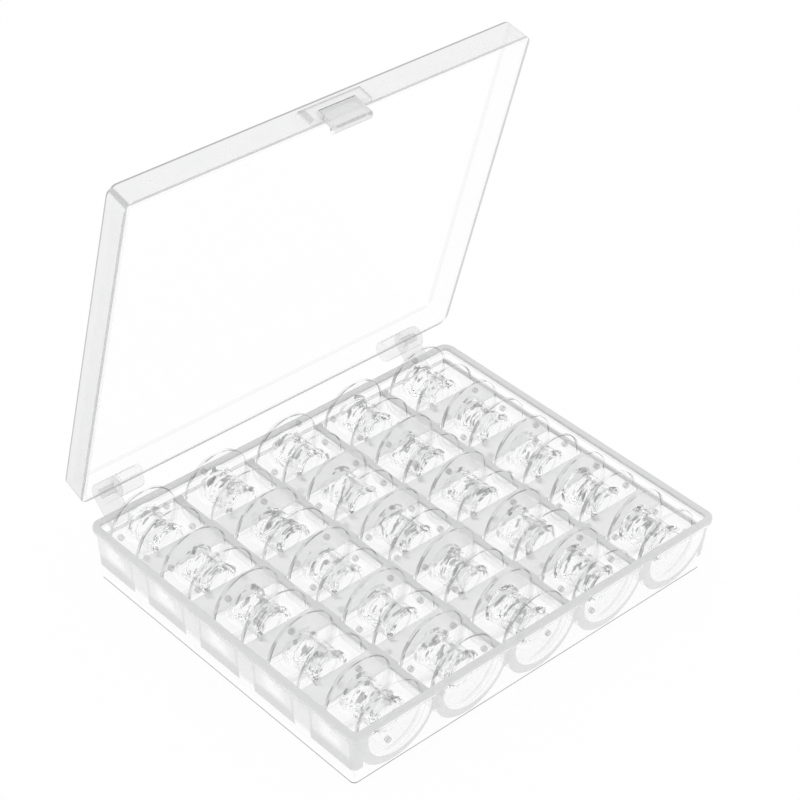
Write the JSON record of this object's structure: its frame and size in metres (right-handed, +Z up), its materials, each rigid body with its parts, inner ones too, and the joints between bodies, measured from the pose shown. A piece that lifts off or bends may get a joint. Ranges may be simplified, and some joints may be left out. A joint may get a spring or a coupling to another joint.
{
  "type": "bobbin box",
  "caption": "Clear hinged box with rows of round-bottomed pockets, each holding a bobbin on edge, under a flat lid with a snap latch.",
  "frame": {"origin": "on the table, under the middle of the open box's outline", "axes": "+X along the hinge towards the right end, +Y from the latch side towards the hinge, +Z up"},
  "size_m": [0.124, 0.1078, 0.1232],
  "materials": {
    "clear_tray": "clear moulded polystyrene, polished",
    "clear_lid": "clear moulded polystyrene, polished",
    "clear_bobbin": "clear moulded plastic"
  },
  "bodies": {
    "base": {"base_tray": "clear_tray"},
    "lid": {"lid": "clear_lid"},
    "latch": {"latch_tongue": "clear_lid"},
    "bobbin_r1c1": {"bobbin_r1c1": "clear_bobbin"},
    "bobbin_r1c2": {"bobbin_r1c2": "clear_bobbin"},
    "bobbin_r1c3": {"bobbin_r1c3": "clear_bobbin"},
    "bobbin_r1c4": {"bobbin_r1c4": "clear_bobbin"},
    "bobbin_r1c5": {"bobbin_r1c5": "clear_bobbin"},
    "bobbin_r2c1": {"bobbin_r2c1": "clear_bobbin"},
    "bobbin_r2c2": {"bobbin_r2c2": "clear_bobbin"},
    "bobbin_r2c3": {"bobbin_r2c3": "clear_bobbin"},
    "bobbin_r2c4": {"bobbin_r2c4": "clear_bobbin"},
    "bobbin_r2c5": {"bobbin_r2c5": "clear_bobbin"},
    "bobbin_r3c1": {"bobbin_r3c1": "clear_bobbin"},
    "bobbin_r3c2": {"bobbin_r3c2": "clear_bobbin"},
    "bobbin_r3c3": {"bobbin_r3c3": "clear_bobbin"},
    "bobbin_r3c4": {"bobbin_r3c4": "clear_bobbin"},
    "bobbin_r3c5": {"bobbin_r3c5": "clear_bobbin"},
    "bobbin_r4c1": {"bobbin_r4c1": "clear_bobbin"},
    "bobbin_r4c2": {"bobbin_r4c2": "clear_bobbin"},
    "bobbin_r4c3": {"bobbin_r4c3": "clear_bobbin"},
    "bobbin_r4c4": {"bobbin_r4c4": "clear_bobbin"},
    "bobbin_r4c5": {"bobbin_r4c5": "clear_bobbin"},
    "bobbin_r5c1": {"bobbin_r5c1": "clear_bobbin"},
    "bobbin_r5c2": {"bobbin_r5c2": "clear_bobbin"},
    "bobbin_r5c3": {"bobbin_r5c3": "clear_bobbin"},
    "bobbin_r5c4": {"bobbin_r5c4": "clear_bobbin"},
    "bobbin_r5c5": {"bobbin_r5c5": "clear_bobbin"}
  },
  "joints": [
    {"name": "lid_hinge", "type": "hinge", "parent": "base", "child": "lid", "pos_m": [0, 0.05021, 0.0191], "axis": [-1, 0, 0], "range_deg": [-76, 104]},
    {"name": "latch_flex", "type": "hinge", "parent": "lid", "child": "latch", "pos_m": [0, 0.02364, 0.12193], "axis": [-1, 0, 0], "range_deg": [0, 12], "stiffness_Nm_per_rad": 0.06},
    {"name": "bobbin_r1c1_lift", "type": "slide", "parent": "base", "child": "bobbin_r1c1", "axis": [0, 0, 1], "range_m": [0, 0.03]},
    {"name": "bobbin_r1c2_lift", "type": "slide", "parent": "base", "child": "bobbin_r1c2", "axis": [0, 0, 1], "range_m": [0, 0.03]},
    {"name": "bobbin_r1c3_lift", "type": "slide", "parent": "base", "child": "bobbin_r1c3", "axis": [0, 0, 1], "range_m": [0, 0.03]},
    {"name": "bobbin_r1c4_lift", "type": "slide", "parent": "base", "child": "bobbin_r1c4", "axis": [0, 0, 1], "range_m": [0, 0.03]},
    {"name": "bobbin_r1c5_lift", "type": "slide", "parent": "base", "child": "bobbin_r1c5", "axis": [0, 0, 1], "range_m": [0, 0.03]},
    {"name": "bobbin_r2c1_lift", "type": "slide", "parent": "base", "child": "bobbin_r2c1", "axis": [0, 0, 1], "range_m": [0, 0.03]},
    {"name": "bobbin_r2c2_lift", "type": "slide", "parent": "base", "child": "bobbin_r2c2", "axis": [0, 0, 1], "range_m": [0, 0.03]},
    {"name": "bobbin_r2c3_lift", "type": "slide", "parent": "base", "child": "bobbin_r2c3", "axis": [0, 0, 1], "range_m": [0, 0.03]},
    {"name": "bobbin_r2c4_lift", "type": "slide", "parent": "base", "child": "bobbin_r2c4", "axis": [0, 0, 1], "range_m": [0, 0.03]},
    {"name": "bobbin_r2c5_lift", "type": "slide", "parent": "base", "child": "bobbin_r2c5", "axis": [0, 0, 1], "range_m": [0, 0.03]},
    {"name": "bobbin_r3c1_lift", "type": "slide", "parent": "base", "child": "bobbin_r3c1", "axis": [0, 0, 1], "range_m": [0, 0.03]},
    {"name": "bobbin_r3c2_lift", "type": "slide", "parent": "base", "child": "bobbin_r3c2", "axis": [0, 0, 1], "range_m": [0, 0.03]},
    {"name": "bobbin_r3c3_lift", "type": "slide", "parent": "base", "child": "bobbin_r3c3", "axis": [0, 0, 1], "range_m": [0, 0.03]},
    {"name": "bobbin_r3c4_lift", "type": "slide", "parent": "base", "child": "bobbin_r3c4", "axis": [0, 0, 1], "range_m": [0, 0.03]},
    {"name": "bobbin_r3c5_lift", "type": "slide", "parent": "base", "child": "bobbin_r3c5", "axis": [0, 0, 1], "range_m": [0, 0.03]},
    {"name": "bobbin_r4c1_lift", "type": "slide", "parent": "base", "child": "bobbin_r4c1", "axis": [0, 0, 1], "range_m": [0, 0.03]},
    {"name": "bobbin_r4c2_lift", "type": "slide", "parent": "base", "child": "bobbin_r4c2", "axis": [0, 0, 1], "range_m": [0, 0.03]},
    {"name": "bobbin_r4c3_lift", "type": "slide", "parent": "base", "child": "bobbin_r4c3", "axis": [0, 0, 1], "range_m": [0, 0.03]},
    {"name": "bobbin_r4c4_lift", "type": "slide", "parent": "base", "child": "bobbin_r4c4", "axis": [0, 0, 1], "range_m": [0, 0.03]},
    {"name": "bobbin_r4c5_lift", "type": "slide", "parent": "base", "child": "bobbin_r4c5", "axis": [0, 0, 1], "range_m": [0, 0.03]},
    {"name": "bobbin_r5c1_lift", "type": "slide", "parent": "base", "child": "bobbin_r5c1", "axis": [0, 0, 1], "range_m": [0, 0.03]},
    {"name": "bobbin_r5c2_lift", "type": "slide", "parent": "base", "child": "bobbin_r5c2", "axis": [0, 0, 1], "range_m": [0, 0.03]},
    {"name": "bobbin_r5c3_lift", "type": "slide", "parent": "base", "child": "bobbin_r5c3", "axis": [0, 0, 1], "range_m": [0, 0.03]},
    {"name": "bobbin_r5c4_lift", "type": "slide", "parent": "base", "child": "bobbin_r5c4", "axis": [0, 0, 1], "range_m": [0, 0.03]},
    {"name": "bobbin_r5c5_lift", "type": "slide", "parent": "base", "child": "bobbin_r5c5", "axis": [0, 0, 1], "range_m": [0, 0.03]}
  ]
}
